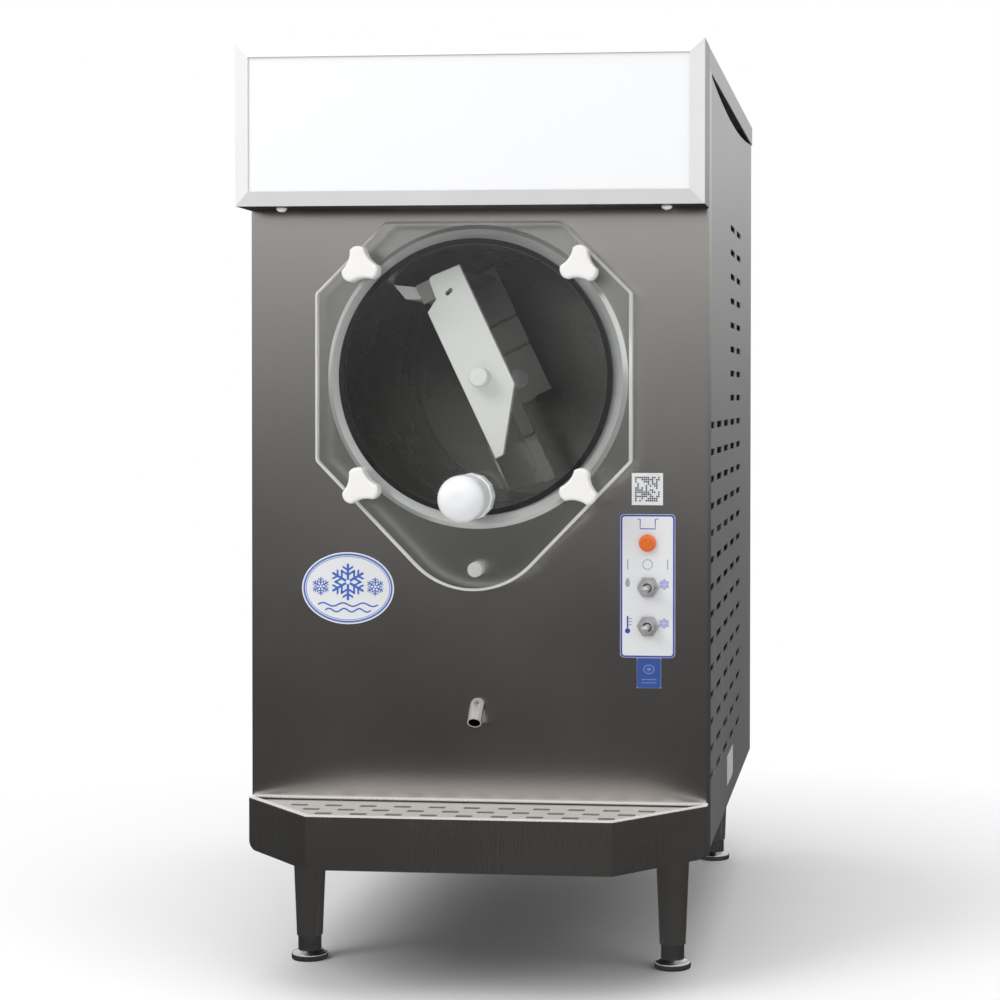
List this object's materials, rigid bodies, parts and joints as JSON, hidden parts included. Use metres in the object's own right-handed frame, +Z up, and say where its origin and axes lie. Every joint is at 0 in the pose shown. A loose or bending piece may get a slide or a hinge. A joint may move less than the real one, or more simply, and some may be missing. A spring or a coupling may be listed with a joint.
{
  "type": "frozen dessert machine",
  "caption": "Countertop frozen dessert and drink maker: horizontal barrel behind a clear front plate, scraping beater, push valve, lit header, drip tray and tall legs.",
  "frame": {"origin": "on the worktop, in the middle of the machine's footprint", "axes": "+Z up, the front with its clear plate looks along -Y, +X to the viewer's right"},
  "size_m": [0.4064, 0.704, 0.817],
  "materials": {
    "brushed_steel": "brushed stainless, fine horizontal grain",
    "side_steel": "satin stainless side sheets",
    "polished_steel": "polished stainless",
    "barrel_steel": "turned stainless barrel",
    "galvanised": "plain galvanised sheet",
    "clear_plate": "clear polished acrylic",
    "diffuser": "white translucent sheet",
    "bezel": "satin aluminium moulding",
    "white_plastic": "white moulded food-grade plastic",
    "white_valve": "smooth white moulded plastic",
    "gasket": "black rubber",
    "foam": "foamed-in insulation",
    "copper": "copper tube",
    "black_paint": "black enamel",
    "grey_paint": "grey enamel",
    "amber_lens": "amber pilot lens",
    "nickel": "nickel plate",
    "decal": "printed film",
    "black_plastic": "black moulded plastic",
    "spring_steel": "stainless spring wire",
    "lamp_glass": "lamp tube"
  },
  "bodies": {
    "cabinet": {"base_pan": "galvanised", "frame": "galvanised", "front_panel": "brushed_steel", "left_side_panel": "side_steel", "right_side_panel": "side_steel", "rear_panel": "side_steel", "top_cover": "side_steel", "lightbox_housing": "brushed_steel", "lightbox_bezel": "bezel", "lightbox_diffuser": "diffuser", "lightbox_lamp": "lamp_glass", "cover_screws": "white_valve", "freezing_barrel": "barrel_steel", "barrel_ring": "polished_steel", "door_gasket": "gasket", "evaporator_coil": "copper", "barrel_insulation": "foam", "door_studs": "polished_steel", "fill_chute": "barrel_steel", "gearbox": "grey_paint", "drive_motor": "grey_paint", "compressor": "black_paint", "compressor_mounts": "gasket", "condenser_coil": "bezel", "fan_shroud": "galvanised", "fan_motor": "black_paint", "refrigerant_lines": "copper", "control_box": "galvanised", "control_plate": "decal", "pilot_lamp": "amber_lens", "toggle_switches": "nickel", "labels": "decal", "drain_tube": "polished_steel", "cord_gland": "black_plastic", "legs": "polished_steel"},
    "lid": {"fill_lid": "brushed_steel"},
    "fan": {"fan_blade": "bezel"},
    "upper_lever": {"upper_switch_lever": "nickel"},
    "lower_lever": {"lower_switch_lever": "nickel"},
    "beater": {"beater_bar": "white_plastic", "beater_pin": "white_plastic", "beater_frame": "barrel_steel", "lower_scraper": "barrel_steel", "drive_shaft": "polished_steel"},
    "scraper": {"upper_scraper": "white_plastic"},
    "door": {"front_plate": "clear_plate", "nose_bumper": "white_plastic", "valve_body": "white_valve", "valve_spring": "spring_steel"},
    "plunger": {"valve_plunger": "white_valve"},
    "knob_upper_left": {"upper_left_knob": "white_plastic"},
    "knob_upper_right": {"upper_right_knob": "white_plastic"},
    "knob_lower_left": {"lower_left_knob": "white_plastic"},
    "knob_lower_right": {"lower_right_knob": "white_plastic"},
    "tray": {"drip_pan": "brushed_steel"},
    "grid": {"drip_grid": "brushed_steel"},
    "foot_fl": {"foot_front_left": "polished_steel"},
    "foot_fr": {"foot_front_right": "polished_steel"},
    "foot_rl": {"foot_rear_left": "polished_steel"},
    "foot_rr": {"foot_rear_right": "polished_steel"}
  },
  "joints": [
    {"name": "lid_lift", "type": "slide", "parent": "cabinet", "child": "lid", "axis": [0, 0, 1], "range_m": [0, 0.05]},
    {"name": "fan_spin", "type": "hinge", "parent": "cabinet", "child": "fan", "pos_m": [0, 0.215, 0.227], "axis": [0, 1, 0], "continuous": true},
    {"name": "upper_switch_throw", "type": "hinge", "parent": "cabinet", "child": "upper_lever", "pos_m": [0.1505, -0.264, 0.3475], "axis": [0, 0, 1], "range_deg": [-14, 14]},
    {"name": "lower_switch_throw", "type": "hinge", "parent": "cabinet", "child": "lower_lever", "pos_m": [0.1505, -0.264, 0.3135], "axis": [0, 0, 1], "range_deg": [-14, 14]},
    {"name": "beater_spin", "type": "hinge", "parent": "cabinet", "child": "beater", "pos_m": [0, -0.1, 0.5304], "axis": [0, 1, 0], "continuous": true},
    {"name": "scraper_swing", "type": "hinge", "parent": "beater", "child": "scraper", "pos_m": [-0.05, -0.135, 0.6046], "axis": [0, 1, 0], "range_deg": [-20, 0]},
    {"name": "door_slide", "type": "slide", "parent": "cabinet", "child": "door", "axis": [0, -1, 0], "range_m": [0, 0.12]},
    {"name": "valve_push", "type": "slide", "parent": "door", "child": "plunger", "axis": [0, 1, 0], "range_m": [0, 0.01], "stiffness_N_per_m": 900, "springref_m": -0.006, "deforming": ["valve_spring"]},
    {"name": "upper_left_knob_turn", "type": "hinge", "parent": "door", "child": "knob_upper_left", "pos_m": [-0.09525, -0.29, 0.62565], "axis": [0, 1, 0], "continuous": true},
    {"name": "upper_right_knob_turn", "type": "hinge", "parent": "door", "child": "knob_upper_right", "pos_m": [0.09525, -0.29, 0.62565], "axis": [0, 1, 0], "continuous": true},
    {"name": "lower_left_knob_turn", "type": "hinge", "parent": "door", "child": "knob_lower_left", "pos_m": [-0.09525, -0.29, 0.43515], "axis": [0, 1, 0], "continuous": true},
    {"name": "lower_right_knob_turn", "type": "hinge", "parent": "door", "child": "knob_lower_right", "pos_m": [0.09525, -0.29, 0.43515], "axis": [0, 1, 0], "continuous": true},
    {"name": "tray_lift", "type": "slide", "parent": "cabinet", "child": "tray", "axis": [0, 0, 1], "range_m": [0, 0.012]},
    {"name": "grid_lift", "type": "slide", "parent": "tray", "child": "grid", "axis": [0, 0, 1], "range_m": [0, 0.05]},
    {"name": "foot_fl_turn", "type": "hinge", "parent": "cabinet", "child": "foot_fl", "pos_m": [-0.1665, -0.197, 0.01], "axis": [0, 0, 1], "continuous": true},
    {"name": "foot_fr_turn", "type": "hinge", "parent": "cabinet", "child": "foot_fr", "pos_m": [0.1665, -0.197, 0.01], "axis": [0, 0, 1], "continuous": true},
    {"name": "foot_rl_turn", "type": "hinge", "parent": "cabinet", "child": "foot_rl", "pos_m": [-0.1665, 0.291, 0.01], "axis": [0, 0, 1], "continuous": true},
    {"name": "foot_rr_turn", "type": "hinge", "parent": "cabinet", "child": "foot_rr", "pos_m": [0.1665, 0.291, 0.01], "axis": [0, 0, 1], "continuous": true}
  ]
}
